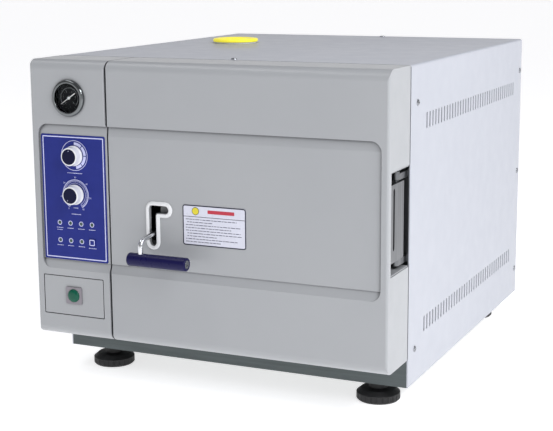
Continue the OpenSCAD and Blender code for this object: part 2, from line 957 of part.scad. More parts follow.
module filler_cap() {
    seat = body_h + 2;
    color("gold") in_body() translate([filler_x, filler_y, 0]) {
        rotate_extrude() polygon([
            [0, seat], [cap_r, seat], [cap_r, seat + 3.2], [cap_r - 1.2, seat + 4.4],
            [cap_r - 8, seat + 4.8], [cap_r - 9, seat + 4], [0, seat + 4],
        ]);
        rod_z(neck_r - 0.5, seat - 14, seat + eps);
    }
}

module solenoid_valves() {
    color("dimgray") in_body()
        for (y = [500, 440])
            translate([-160, y, 0]) {
                box([-18, -18, 58], [18, 18, 96]);
                rod_z(11, 24, 58 + eps);
                box([-14, -14, sheet], [14, 14, 24 + eps]);
            }
}

// One run of copper tube through a list of corners, with a ball elbow at each inner corner
module tube_run(points, r) {
    last = len(points) - 1;
    for (i = [0 : last - 1]) {
        step = points[i + 1] - points[i];
        length = norm(step);
        translate(points[i])
            rotate([0, acos(step[2] / length), atan2(step[1], step[0])])
                cylinder(r = r, h = length);
    }
    for (i = [1 : last - 1])
        translate(points[i]) sphere(r * 1.4);
}

module steam_pipes() {
    port_y = mouth_y + chamber_l + 14;
    r = 3.6;
    color("peru") in_body() {
        tube_run([
            [gauge_x, 40, gauge_z], [gauge_x, 58, gauge_z], [gauge_x, 58, 379], [gauge_x, 579, 379],
            [chamber_x, 579, 379], [chamber_x, 579, chamber_z + 30],
            [chamber_x, port_y, chamber_z + 30],
        ], r);
        tube_run([[-160, 500, tank_z], [-160, 500, 96]], r);
        tube_run([
            [-149, 500, 40], [-100, 500, 40], [-100, 576, 40], [chamber_x, 576, 40],
            [chamber_x, 576, chamber_z - 70], [chamber_x, port_y, chamber_z - 70],
        ], r);
        tube_run([
            [-149, 440, 40], [drain_x, 440, 40],
            [drain_x, 560, drain_z], [drain_x, 584, drain_z],
        ], r);
    }
}

// ---------------------------------------------------------------- rear fittings

module power_inlet() {
    color("black") in_body() translate([inlet_x, 0, inlet_z]) {
        difference() {
            union() {
                front_plate(body_d, body_d + 3) rounded([-24, -15], [24, 15], 3);
                front_plate(562, body_d + eps) translate([-13.8, -10.8]) square([27.6, 21.6]);
            }
            front_plate(572, body_d + 4) translate([-12, -8.5]) square([24, 17]);
        }
        for (p = [[-7, -2], [0, 3], [7, -2]])
            translate([p[0], 0, p[1]]) box([-1, 571, -2.5], [1, 590, 2.5]);
    }
}

module drain_valve() {
    back = body_d + 18;
    color("goldenrod") in_body() translate([drain_x, 0, drain_z]) {
        difference() {
            union() {
                rod_y(7, 584, body_d + eps);
                box([-9, body_d, -9], [9, back, 9]);
                rod_y(5, back - eps, body_d + rear_reach);
            }
            rod_y(3, 600, body_d + rear_reach + 1);
            translate([0, body_d + 9, 0]) rod_z(2.5 + fit, 3, 12);
        }
    }
}

// Lever knob that turns the drain valve about its upright stem
module drain_knob() {
    color("firebrick") in_body() translate([drain_x, body_d + 9, drain_z]) {
        rod_z(2.5, 3, 10);
        rod_z(5.5, 10 - eps, 15);
        box([-20, -3.5, 15 - eps], [7, 3.5, 19]);
    }
}

module safety_valve() {
    color("goldenrod") in_body() translate([valve_x, 0, valve_z]) {
        rod_y(11, 572, 604);
        translate([0, 614, 0]) rotate([90, 0, 0]) cylinder(r = 13, h = 10 + eps, $fn = 6);
        rod_y(5, 614 - eps, 620);
        translate([0, 622, 0]) rod_y(7, -2 - eps, 1);
    }
}

// ---------------------------------------------------------------- feet

// Levelling foot with a ribbed rim, a neck and a threaded stud
module levelling_foot(x, y) {
    ribs = 24;
    color("black") in_body() translate([x, y, 0]) {
        difference() {
            rotate_extrude() polygon([
                [0, -feet_h], [foot_r - 2, -feet_h], [foot_r, -feet_h + 2], [foot_r, -feet_h + 10],
                [foot_r - 6, -feet_h + 15], [12, -feet_h + 16], [12, -0.3], [0, -0.3],
            ]);
            for (i = [0 : ribs - 1])
                rotate([0, 0, i * 360 / ribs]) translate([foot_r + 0.9, 0, 0])
                    rod_z(1.6, 3 - feet_h, 9 - feet_h);
        }
        rod_z(stud_r, -0.3 - eps, 16);
    }
}

module front_left_foot() {
    levelling_foot(-foot_x, foot_front);
}

module front_right_foot() {
    levelling_foot(foot_x, foot_front);
}

module rear_left_foot() {
    levelling_foot(-foot_x, foot_rear);
}

module rear_right_foot() {
    levelling_foot(foot_x, foot_rear);
}

base_tray();
front_frame();
casing();
rear_panel();
case_screws();
control_housing();
control_overlay();
indicator_lamps();
start_key();
control_board();
gauge_case();
gauge_bezel();
gauge_lens();
gauge_dial();
gauge_needle();
thermostat();
thermostat_knob();
thermostat_cap();
timer();
timer_knob();
timer_cap();
switch_plate();
switch_bezel();
power_button();
door_cover();
slot_trim();
info_plate();
clamp_beam();
lid_bolt();
door_lid();
door_seal();
hinge_leaf();
hinge_bracket();
hinge_pin();
latch_shaft();
latch_keeper();
handle_rod();
handle_grip();
grip_screw();
chamber_vessel();
ring_bolts();
heater_bands();
insulation_jacket();
tray_rack();
lower_tray();
middle_tray();
upper_tray();
water_tank();
tank_float();
filler_cap();
solenoid_valves();
steam_pipes();
power_inlet();
drain_valve();
drain_knob();
safety_valve();
front_left_foot();
front_right_foot();
rear_left_foot();
rear_right_foot();
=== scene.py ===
"""Looks of a benchtop steam steriliser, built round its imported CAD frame.

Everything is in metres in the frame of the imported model: x runs to the right, y runs
towards the rear panel and z runs up from the floor. Sizes are written in millimetres
and turned into metres by mm().
"""

import json
import math
import random

import bmesh
import bpy
from mathutils import Matrix, Vector


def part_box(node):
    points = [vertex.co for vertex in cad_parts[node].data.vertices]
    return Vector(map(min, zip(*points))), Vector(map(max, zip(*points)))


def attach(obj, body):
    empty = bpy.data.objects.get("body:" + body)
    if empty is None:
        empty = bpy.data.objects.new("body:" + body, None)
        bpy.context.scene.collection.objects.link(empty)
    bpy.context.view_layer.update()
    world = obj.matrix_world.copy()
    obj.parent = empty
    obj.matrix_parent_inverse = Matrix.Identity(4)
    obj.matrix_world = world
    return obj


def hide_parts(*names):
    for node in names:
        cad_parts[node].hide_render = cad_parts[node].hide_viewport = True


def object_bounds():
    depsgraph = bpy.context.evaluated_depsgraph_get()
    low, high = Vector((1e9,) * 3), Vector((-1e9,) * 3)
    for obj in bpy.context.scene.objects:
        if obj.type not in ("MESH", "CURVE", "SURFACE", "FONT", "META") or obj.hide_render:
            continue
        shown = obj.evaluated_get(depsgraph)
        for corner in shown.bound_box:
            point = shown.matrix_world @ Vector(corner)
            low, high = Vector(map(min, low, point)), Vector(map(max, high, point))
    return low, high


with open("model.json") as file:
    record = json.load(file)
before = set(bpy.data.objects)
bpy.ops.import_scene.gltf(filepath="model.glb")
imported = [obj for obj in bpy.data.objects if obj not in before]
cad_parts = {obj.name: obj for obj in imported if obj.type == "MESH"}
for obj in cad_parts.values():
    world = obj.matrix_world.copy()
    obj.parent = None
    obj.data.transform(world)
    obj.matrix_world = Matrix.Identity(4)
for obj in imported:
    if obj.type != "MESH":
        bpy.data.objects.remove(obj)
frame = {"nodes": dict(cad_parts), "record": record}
nodes = frame["nodes"]
cad_low, cad_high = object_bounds()


def mm(value):
    return value * 0.001


def srgb(red, green, blue):
    """Linear colour of an sRGB colour given from 0 to 255."""

    def channel(c):
        c /= 255
        return c / 12.92 if c <= 0.04045 else ((c + 0.055) / 1.055) ** 2.4

    return (channel(red), channel(green), channel(blue))


def middle(node):
    low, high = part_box(node)
    return (low + high) / 2


FACE_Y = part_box("door_cover")[0].y
OVERLAY_LOW, OVERLAY_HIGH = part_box("control_overlay")
OVERLAY_Y = OVERLAY_LOW.y

# ---------------------------------------------------------------- camera and light

# Fitted to the photograph with a small lens shift only, because the other views keep it
CAMERA_LENS = 85.556
CAMERA_SHIFT = -0.014
CAMERA_X = 0.7289
CAMERA_BEFORE_FACE = 1.3811
CAMERA_HEIGHT = 0.5437
CAMERA_YAW = math.radians(24.456)
CAMERA_PITCH = math.radians(-10.787)
CAMERA_ROLL = math.radians(-0.369)


def make_camera():
    data = bpy.data.cameras.new("camera")
    data.lens = CAMERA_LENS
    data.sensor_width = 36
    data.shift_y = CAMERA_SHIFT
    camera = bpy.data.objects.new("camera", data)
    bpy.context.scene.collection.objects.link(camera)
    bpy.context.scene.camera = camera
    flat = math.cos(CAMERA_PITCH)
    ahead = Vector((-math.sin(CAMERA_YAW) * flat, math.cos(CAMERA_YAW) * flat, math.sin(CAMERA_PITCH)))
    level = Vector((math.cos(CAMERA_YAW), math.sin(CAMERA_YAW), 0))
    upright = level.cross(ahead)
    c, s = math.cos(CAMERA_ROLL), math.sin(CAMERA_ROLL)
    right = c * level + s * upright
    up = c * upright - s * level
    turn = Matrix((right, up, -ahead)).transposed().to_4x4()
    camera.matrix_world = Matrix.Translation((CAMERA_X, FACE_Y - CAMERA_BEFORE_FACE, CAMERA_HEIGHT)) @ turn


def area_light(name, place, target, size, power, color=(1, 1, 1)):
    data = bpy.data.lights.new(name, "AREA")
    data.shape = "RECTANGLE"
    data.size, data.size_y = size
    data.energy = power
    data.color = color
    light = bpy.data.objects.new(name, data)
    bpy.context.scene.collection.objects.link(light)
    light.location = place
    light.rotation_euler = (Vector(target) - Vector(place)).to_track_quat("-Z", "Y").to_euler()


def make_world():
    """A studio with a white strip at the horizon, soft grey walls and a darker ceiling."""
    world = bpy.data.worlds.new("studio")
    bpy.context.scene.world = world
    world.use_nodes = True
    tree = world.node_tree
    background = tree.nodes["Background"]
    coords = tree.nodes.new("ShaderNodeTexCoord")
    split = tree.nodes.new("ShaderNodeSeparateXYZ")
    ramp = tree.nodes.new("ShaderNodeValToRGB")
    horizon, wall = ramp.color_ramp.elements[0], ramp.color_ramp.elements.new(0.2)
    horizon.position = 0.13
    horizon.color = (1.6, 1.6, 1.62, 1)
    wall.color = (0.58, 0.58, 0.59, 1)
    ceiling = ramp.color_ramp.elements[2]
    ceiling.position = 0.9
    ceiling.color = (0.42, 0.42, 0.45, 1)
    tree.links.new(coords.outputs["Generated"], split.inputs[0])
    tree.links.new(split.outputs["Z"], ramp.inputs[0])
    tree.links.new(ramp.outputs[0], background.inputs["Color"])
    background.inputs["Strength"].default_value = 0.6


def make_stage():
    bm = bmesh.new()
    bmesh.ops.create_circle(bm, cap_ends=True, radius=30, segments=96)
    mesh = bpy.data.meshes.new("floor")
    bm.to_mesh(mesh)
    bm.free()
    floor = bpy.data.objects.new("floor", mesh)
    bpy.context.scene.collection.objects.link(floor)
    floor.location.z = cad_low.z - mm(0.2)
    mat = bpy.data.materials.new("studio_floor")
    mat.use_nodes = True
    bsdf = mat.node_tree.nodes["Principled BSDF"]
    bsdf.inputs["Base Color"].default_value = (0.82, 0.82, 0.83, 1)
    bsdf.inputs["Roughness"].default_value = 0.8
    bsdf.inputs["Emission Color"].default_value = (1, 1, 1, 1)
    bsdf.inputs["Emission Strength"].default_value = 0.7
    mesh.materials.append(mat)


make_camera()
make_world()
make_stage()
area_light("key_right", (1.95, -1.5, 1.7), (-0.05, -0.3, 0.25), (0.9, 1.2), 24, (0.98, 0.985, 1.0))
area_light("side_right", (1.6, -0.2, 1.6), (0.24, -0.15, 0.4), (1.4, 0.5), 20, (0.97, 0.98, 1.0))
area_light("strip_top", (-0.8, -0.6, 2.0), (-0.1, -0.1, 0.42), (1.6, 0.5), 6.5)
bpy.context.scene.view_settings.view_transform = "Standard"

# ---------------------------------------------------------------- materials


class Surface:
    """A procedural material: base colour with drift and edge wear, roughness and bump."""

    def __init__(self, name, color, rough=0.45, metal=0.0, coat=0.0, specular=0.5):
        self.material = bpy.data.materials.new(name)
        self.material.use_nodes = True
        self.tree = self.material.node_tree
        self.bsdf = self.tree.nodes["Principled BSDF"]
        self.coords = self.tree.nodes.new("ShaderNodeTexCoord").outputs["Object"]
        self.bsdf.inputs["Metallic"].default_value = metal
        self.bsdf.inputs["Coat Weight"].default_value = coat
        self.bsdf.inputs["Coat Roughness"].default_value = 0.08
        self.bsdf.inputs["Specular IOR Level"].default_value = specular
        self.bsdf.inputs["Roughness"].default_value = rough
        self.bsdf.inputs["Base Color"].default_value = (*color, 1)
        self.color = (*color, 1)
        self.rough = rough

    def node(self, kind, **values):
        made = self.tree.nodes.new(kind)
        for key, value in values.items():
            setattr(made, key, value)
        return made

    def link(self, source, target):
        self.tree.links.new(source, target)

    def noise(self, size, detail=3.0, stretch=(1, 1, 1), rough=0.5):
        """Noise whose grains are about size across, in metres, drawn out along an axis."""
        mapping = self.node("ShaderNodeMapping")
        mapping.inputs["Scale"].default_value = [1 / k for k in stretch]
        self.link(self.coords, mapping.inputs["Vector"])
        made = self.node("ShaderNodeTexNoise")
        made.inputs["Scale"].default_value = 1 / size
        made.inputs["Detail"].default_value = detail
        made.inputs["Roughness"].default_value = rough
        self.link(mapping.outputs[0], made.inputs["Vector"])
        return made.outputs["Fac"]

    def spread(self, source, low, high):
        """The source's middle range stretched to low and high."""
        made = self.node("ShaderNodeMapRange")
        made.inputs["From Min"].default_value = 0.3
        made.inputs["From Max"].default_value = 0.7
        made.inputs["To Min"].default_value = low
        made.inputs["To Max"].default_value = high
        self.link(source, made.inputs["Value"])
        return made.outputs["Result"]

    def mix(self, share, first, second):
        made = self.node("ShaderNodeMix", data_type="RGBA")
        self.link(share, made.inputs["Factor"])
        for value, socket in ((first, made.inputs[6]), (second, made.inputs[7])):
            if isinstance(value, tuple):
                socket.default_value = value
            else:
                self.link(value, socket)
        return made.outputs[2]

    def base(self):
        """What feeds the base colour now: a socket, or the plain colour."""
        links = self.bsdf.inputs["Base Color"].links
        return links[0].from_socket if links else self.color

    def drift(self, amount, size, tint=(1, 1, 1)):
        """Slow change of shade over the surface."""
        share = self.spread(self.noise(size), 0, 1)
        dark = tuple(c * (1 - amount) * t for c, t in zip(self.color[:3], tint)) + (1,)
        light = tuple(min(1, c * (1 + amount)) for c in self.color[:3]) + (1,)
        self.link(self.mix(share, dark, light), self.bsdf.inputs["Base Color"])
        return self

    def polish(self, low, high, size, stretch=(1, 1, 1)):
        """Roughness that wanders between low and high."""
        share = self.noise(size, stretch=stretch)
        self.link(self.spread(share, low, high), self.bsdf.inputs["Roughness"])
        return self

    def edge_mask(self, radius, gain=6.0):
        """1 on edges sharper than radius, 0 on flat ground."""
        bevel = self.node("ShaderNodeBevel", samples=4)
        bevel.inputs["Radius"].default_value = radius
        ground = self.node("ShaderNodeNewGeometry")
        dot = self.node("ShaderNodeVectorMath", operation="DOT_PRODUCT")
        self.link(bevel.outputs[0], dot.inputs[0])
        self.link(ground.outputs["Normal"], dot.inputs[1])
        mask = self.node("ShaderNodeMapRange")
        mask.inputs["From Min"].default_value = 1.0
        mask.inputs["From Max"].default_value = 1.0 - 1 / gain
        self.link(dot.outputs["Value"], mask.inputs["Value"])
        return mask.outputs["Result"]

    def wear(self, color, radius, amount, size):
        """Edges rubbed to another colour in patches."""
        patches = self.spread(self.noise(size, detail=6), 0, amount)
        share = self.node("ShaderNodeMath", operation="MULTIPLY")
        self.link(self.edge_mask(radius), share.inputs[0])
        self.link(patches, share.inputs[1])
        self.link(self.mix(share.outputs[0], self.base(), (*color, 1)), self.bsdf.inputs["Base Color"])
        return self

    def specks(self, color, size, amount):
        """Fine scattered flecks."""
        fleck = self.node("ShaderNodeMapRange")
        fleck.inputs["From Min"].default_value = 0.66
        fleck.inputs["From Max"].default_value = 0.74
        fleck.inputs["To Max"].default_value = amount
        self.link(self.noise(size, detail=2), fleck.inputs["Value"])
        self.link(self.mix(fleck.outputs["Result"], self.base(), (*color, 1)), self.bsdf.inputs["Base Color"])
        return self

    def bump(self, height, size, stretch=(1, 1, 1), detail=3.0, soft_edge=0.0):
        """Relief of about height on grains of about size; soft_edge rounds the edges."""
        made = self.node("ShaderNodeBump")
        made.inputs["Strength"].default_value = 1.0
        made.inputs["Distance"].default_value = height
        self.link(self.noise(size, detail=detail, stretch=stretch), made.inputs["Height"])
        links = self.bsdf.inputs["Normal"].links
        if links:
            self.link(links[0].from_socket, made.inputs["Normal"])
        elif soft_edge:
            bevel = self.node("ShaderNodeBevel", samples=4)
            bevel.inputs["Radius"].default_value = soft_edge
            self.link(bevel.outputs[0], made.inputs["Normal"])
        self.link(made.outputs[0], self.bsdf.inputs["Normal"])
        return self

    def creases(self, reach, amount):
        """Painted shade: the base colour darkened towards near black in grooves and inside corners, where
        shade falls.
        """
        crease_occlusion = self.node("ShaderNodeAmbientOcclusion", samples=8)
        crease_occlusion.inputs["Distance"].default_value = reach
        share = self.node("ShaderNodeMapRange")
        share.inputs["From Min"].default_value = 0.9
        share.inputs["From Max"].default_value = 0.3
        share.inputs["To Max"].default_value = amount
        self.link(crease_occlusion.outputs["AO"], share.inputs["Value"])
        self.link(self.mix(share.outputs["Result"], self.base(), (0.02, 0.021, 0.025, 1)),
                  self.bsdf.inputs["Base Color"])
        return self

    # Painted light: emission that brightens a part that is no lamp
    def glow(self, color, strength):
        self.bsdf.inputs["Emission Color"].default_value = (*color, 1)
        self.bsdf.inputs["Emission Strength"].default_value = strength
        return self

    def clear(self, weight, ior=1.5):
        self.bsdf.inputs["Transmission Weight"].default_value = weight
        self.bsdf.inputs["IOR"].default_value = ior
        return self


def paint(name, color, rough, orange_peel, texture, gloss=0.0):
    """Powder coat: a slow drift of shade, orange peel, a fine texture, faint rubbed edges and painted shade
    in its creases.
    """
    made = Surface(name, color, rough, coat=gloss)
    made.drift(0.018, mm(170), tint=(0.998, 1.0, 1.004))
    made.specks(tuple(c * 0.9 for c in color), mm(0.9), 0.25)
    made.wear(tuple(min(1, c * 1.18) for c in color), mm(0.8), 0.5, mm(9))
    # Painted shade: grooves and inside corners darkened from ambient occlusion, where shade falls
    made.creases(mm(5), 0.95)
    made.polish(rough - 0.05, rough + 0.06, mm(24))
    made.bump(orange_peel, mm(2.2), soft_edge=mm(0.7))
    made.bump(texture, mm(0.45), detail=1)
    return made


def brushed(name, color, rough, along, height=mm(0.012)):
    """Rolled or brushed metal with its grain drawn out along one axis."""
    made = Surface(name, color, rough, metal=1.0)
    made.drift(0.05, mm(60))
    made.wear(tuple(min(1, c * 1.25) for c in color), mm(0.5), 0.7, mm(6))
    made.polish(rough - 0.08, rough + 0.1, mm(3), stretch=along)
    made.bump(height, mm(0.5), stretch=along, detail=4, soft_edge=mm(0.4))
    return made


def plastic(name, color, rough, coat=0.0, drift=0.03, height=mm(0.01), specular=0.5):
    """Moulded plastic with a faint grain and slightly paler edges."""
    made = Surface(name, color, rough, coat=coat, specular=specular)
    made.drift(drift, mm(14))
    made.wear(tuple(min(1, c * 1.3 + 0.01) for c in color), mm(0.4), 0.5, mm(3))
    made.polish(max(0.02, rough - 0.05), rough + 0.07, mm(5))
    made.bump(height, mm(0.6), soft_edge=mm(0.35))
    return made


FRONT_PAINT = (0.366, 0.377, 0.393)
CASING_PAINT = (0.446, 0.462, 0.512)
INK = srgb(205, 208, 244)

ALONG_X, ALONG_Y, ALONG_Z = (40, 1, 1), (1, 40, 1), (1, 1, 40)

surfaces = {
    "front_paint": paint("front_paint", FRONT_PAINT, 0.42, mm(0.05), mm(0.012), 0.25),
    "casing_paint": paint("casing_paint", CASING_PAINT, 0.42, mm(0.06), mm(0.008), 0.12),
    # Painted shade: the galvanised sheet is near black, so the front frame seen in the gap between the front
    # and the casing reads as a dark shadow line and the base tray front under the overhang looks shaded
    "galvanised_sheet": brushed("galvanised_sheet", (0.105, 0.12, 0.122), 0.5, ALONG_X),
    "stainless": brushed("stainless", (0.50, 0.50, 0.51), 0.34, ALONG_Y, mm(0.002)),
    "bright_steel": brushed("bright_steel", (0.72, 0.73, 0.75), 0.12, ALONG_X, mm(0.002)),
    "plated_screws": brushed("plated_screws", (0.30, 0.31, 0.33), 0.22, (1, 1, 1)),
    "overlay_blue": plastic("overlay_blue", (0.019, 0.029, 0.212), 0.42, specular=0.14),
    "lamp_ring": plastic("lamp_ring", INK, 0.35, coat=0.3),
    "key_pad": plastic("key_pad", (0.019, 0.029, 0.212), 0.42, specular=0.14),
    "circuit_board": plastic("circuit_board", (0.02, 0.13, 0.06), 0.3, coat=0.4, drift=0.2),
    "black_moulding": plastic("black_moulding", (0.018, 0.018, 0.02), 0.45, drift=0.15),
    "dial_face": plastic("dial_face", (0.009, 0.010, 0.0115), 0.6, drift=0.1, specular=0.12),
    "pointer_white": plastic("pointer_white", (0.85, 0.85, 0.85), 0.4),
    "phenolic": plastic("phenolic", (0.10, 0.055, 0.03), 0.4, drift=0.3),
    "knob_white": plastic("knob_white", (0.80, 0.81, 0.84), 0.22, coat=0.5),
    "knob_navy": plastic("knob_navy", (0.005, 0.006, 0.032), 0.4, height=mm(0.003), specular=0.12),
    "bezel_mauve": plastic("bezel_mauve", (0.26, 0.24, 0.27), 0.4),
    "lens_green": plastic("lens_green", (0.0, 0.09, 0.052), 0.2, coat=0.25, specular=0.2),
    "trim_pale": plastic("trim_pale", (0.76, 0.77, 0.785), 0.32, coat=0.2),
    "plate_white": plastic("plate_white", (0.66, 0.67, 0.77), 0.3, coat=0.2),
    "dark_steel": brushed("dark_steel", (0.17, 0.175, 0.185), 0.36, ALONG_Z),
    "cast_beam": paint("cast_beam", (0.16, 0.165, 0.17), 0.5, mm(0.25), mm(0.05)),
    "silicone_red": plastic("silicone_red", (0.42, 0.07, 0.03), 0.5, drift=0.06),
    "copper": brushed("copper", (0.78, 0.36, 0.22), 0.25, ALONG_Y),
    "brass": brushed("brass", (0.74, 0.52, 0.20), 0.24, ALONG_Y),
    "band_mica": brushed("band_mica", (0.46, 0.40, 0.28), 0.45, ALONG_Z),
    "glass_wool": plastic("glass_wool", (0.62, 0.58, 0.42), 0.9, drift=0.2, height=mm(0.6)),
    "tank_plastic": plastic("tank_plastic", (0.72, 0.76, 0.80), 0.4),
    "float_orange": plastic("float_orange", (0.72, 0.16, 0.02), 0.6, height=mm(0.08)),
    # Painted light: the yellow filler cap gets a faint emission to look brighter, though it is no lamp
    "cap_yellow": plastic("cap_yellow", (1.0, 0.88, 0.045), 0.35).glow((1.0, 0.88, 0.06), 0.25),
    "lever_red": plastic("lever_red", (0.45, 0.02, 0.015), 0.4),
    "grip_blue": plastic("grip_blue", (0.0065, 0.0055, 0.058), 0.3, drift=0.02, height=mm(0.0006),
                         specular=0.2),
    "foot_rubber": plastic("foot_rubber", (0.012, 0.012, 0.013), 0.55, drift=0.25, height=mm(0.05)),
    "lens_dark": plastic("lens_dark", (0.012, 0.05, 0.03), 0.12, coat=0.5),
    # Painted reflection: the chrome's colour is set dark to stand in for the dark surroundings it mirrors
    "chrome": brushed("chrome", (0.17, 0.18, 0.185), 0.07, (1, 1, 1), mm(0.001)),
    "scale_print": plastic("scale_print", (0.24, 0.25, 0.26), 0.4),
    "ink_dark": plastic("ink_dark", (0.012, 0.013, 0.032), 0.5, specular=0.2),
    "ink_grey": plastic("ink_grey", (0.10, 0.105, 0.15), 0.5, specular=0.2),
    "ink_red": plastic("ink_red", (0.50, 0.025, 0.05), 0.4),
    "ink_yellow": plastic("ink_yellow", (0.72, 0.62, 0.03), 0.4),
}
# The gauge's lens is thin and hardly mirrors the room
surfaces["clear_lens"] = Surface("clear_lens", (0.97, 0.985, 0.99), 0.02, specular=0.0).clear(1.0, ior=1.06)
surfaces["clear_lens"].polish(0.01, 0.05, mm(8))

# Where a node looks unlike the rest of its slot
OTHER_FINISH = {"hinge_pin": "dark_steel"}

for part in frame["record"]["subparts"]:
    mesh = nodes[part["node"]].data
    finish = OTHER_FINISH.get(part["node"], part["material_slot"])
    mesh.materials.clear()
    mesh.materials.append(surfaces[finish].material)

# ---------------------------------------------------------------- building pieces

PRINT_THICK = mm(0.12)
PRINT_SUNK = mm(0.05)


def piece(name, bm, surface, body, stands_for=(), smooth=35):
    """A finished piece made from a bmesh in the frame's own coordinates."""
    bmesh.ops.recalc_face_normals(bm, faces=bm.faces)
    mesh = bpy.data.meshes.new(name)
    bm.to_mesh(mesh)
    bm.free()
    mesh.shade_smooth()
    mesh.set_sharp_from_angle(angle=math.radians(smooth))
    mesh.materials.append(surfaces[surface].material)
    made = bpy.data.objects.new(name, mesh)
    bpy.context.scene.collection.objects.link(made)
    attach(made, body)
    if stands_for:
        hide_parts(*stands_for)
    return made


def loops(bm, rings, closed):
    """Skin between rings of points; closed joins the last ring to the first."""
    rows = [[bm.verts.new(p) for p in ring] for ring in rings]
    pairs = list(zip(rows, rows[1:]))
    if closed:
        pairs.append((rows[-1], rows[0]))
    for one, two in pairs:
        for i in range(len(one)):
            j = (i + 1) % len(one)
            bm.faces.new((one[i], one[j], two[j], two[i]))
    return rows


def prism(bm, outline, y_front, y_back):
    """Solid slab with an outline given in x and z."""
    rings = [[(x, y, z) for x, z in outline] for y in (y_front, y_back)]
    front, back = loops(bm, rings, False)
    bm.faces.new(front)
    bm.faces.new(list(reversed(back)))


def hoop(bm, outer, inner, y_front, y_back):
    """Solid loop between two outlines with as many points each."""
    loops(
        bm,
        [
            [(x, y_front, z) for x, z in outer],
            [(x, y_back, z) for x, z in outer],
            [(x, y_back, z) for x, z in inner],
            [(x, y_front, z) for x, z in inner],
        ],
        True,
    )


def on_dial(cx, cz, radius, degrees):
    """Point at an angle measured clockwise from twelve o'clock."""
    a = math.radians(degrees)
    return (cx + radius * math.sin(a), cz + radius * math.cos(a))


def circle(cx, cz, radius, count=72):
    return [on_dial(cx, cz, radius, 360 * i / count) for i in range(count)]


def rounded(x0, z0, x1, z1, radius, steps=6):
    """Outline of a rectangle with round corners."""
    points = []
    corners = ((x1 - radius, z1 - radius, 0), (x1 - radius, z0 + radius, 90),
               (x0 + radius, z0 + radius, 180), (x0 + radius, z1 - radius, 270))
    for cx, cz, start in corners:
        points += [on_dial(cx, cz, radius, start + 90 * i / steps) for i in range(steps + 1)]
    return points


def sector(bm, cx, cz, r0, r1, start, end, y_front, y_back):
    """Part of a flat ring, between two angles."""
    steps = max(1, int((end - start) / 5))
    angles = [start + (end - start) * i / steps for i in range(steps + 1)]
    outline = [on_dial(cx, cz, r1, a) for a in angles]
    outline += [on_dial(cx, cz, r0, a) for a in reversed(angles)]
    prism(bm, outline, y_front, y_back)


def turned(bm, profile, place, segments=72, ripple=None):
    """Solid of revolution; profile is radius and height, first and last points on the axis."""
    rings = []
    for radius, height in profile[1:-1]:
        ring = []
        for i in range(segments):
            a = math.tau * i / segments
            r = radius + (ripple(a, radius, height) if ripple else 0)
            ring.append(place @ Vector((r * math.cos(a), r * math.sin(a), height)))
        rings.append(ring)
    rows = loops(bm, rings, False)
    for row, (_, height) in ((rows[0], profile[0]), (rows[-1], profile[-1])):
        tip = bm.verts.new(place @ Vector((0, 0, height)))
        for i in range(segments):
            bm.faces.new((row[i], row[(i + 1) % segments], tip))


def facing_front(x, y, z):
    """Puts a turned solid's axis towards the front, its height measured from (x, y, z)."""
    return Matrix.Translation((x, y, z)) @ Matrix.Rotation(math.radians(90), 4, "X")


def numeral(bm, text, x, z, size, y_front):
    """A printed number, centred on x and z."""
    curve = bpy.data.curves.new("numeral", "FONT")
    curve.body = text
    curve.size = size
    curve.align_x = curve.align_y = "CENTER"
    curve.extrude = PRINT_THICK / 2
    curve.resolution_u = 2
    drawn = bpy.data.objects.new("numeral", curve)
    bpy.context.scene.collection.objects.link(drawn)
    bpy.context.view_layer.update()
    mesh = bpy.data.meshes.new_from_object(drawn.evaluated_get(bpy.context.evaluated_depsgraph_get()))
    bpy.data.objects.remove(drawn)
    bpy.data.curves.remove(curve)
    turn = Matrix.Rotation(math.radians(90), 4, "X")
    mesh.transform(Matrix.Translation((x, y_front + PRINT_THICK / 2, z)) @ turn)
    fresh = bmesh.new()
    fresh.from_mesh(mesh)
    bmesh.ops.remove_doubles(fresh, verts=fresh.verts, dist=mm(0.001))
    fresh.to_mesh(mesh)
    fresh.free()
    bm.from_mesh(mesh)
    bpy.data.meshes.remove(mesh)


def printed(face_y):
    """Front and back of a print laid on a face."""
    return face_y - PRINT_THICK + PRINT_SUNK, face_y + PRINT_SUNK


# ---------------------------------------------------------------- control overlay

LAMP_RING_R = mm(3.2)
LAMP_R = mm(2.3)
BORDER_INSET = mm(2.2)
BORDER_W = mm(1.3)
DASH_H = mm(0.9)

thermostat_at = middle("thermostat_cap")
timer_at = middle("timer_cap")
key_low, key_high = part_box("start_key")
key_at = (key_low + key_high) / 2
lamps_low, lamps_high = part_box("indicator_lamps")
LAMP_HOLE_R = mm(2.6)
lamp_left = lamps_low.x + LAMP_HOLE_R
lamp_right = lamps_high.x - LAMP_HOLE_R
lamp_upper = lamps_high.z - LAMP_HOLE_R
lamp_lower = lamps_low.z + LAMP_HOLE_R
lamp_columns = [lamp_left + (lamp_right - lamp_left) * i / 3 for i in range(4)]
lamp_places = [(x, lamp_upper) for x in lamp_columns] + [(x, lamp_lower) for x in lamp_columns[:3]]


def dashes(bm, x, z, width, y_front, y_back, chance):
    """A row of short plain marks standing where a caption would be."""
    left = x - width / 2
    end = x + width / 2
    while left < end - mm(0.5):
        right = min(end, left + mm(chance.uniform(0.9, 2.0)))
        prism(bm, rounded(left, z - DASH_H / 2, right, z + DASH_H / 2, mm(0.2), 1), y_front, y_back)
        left = right + mm(0.5)


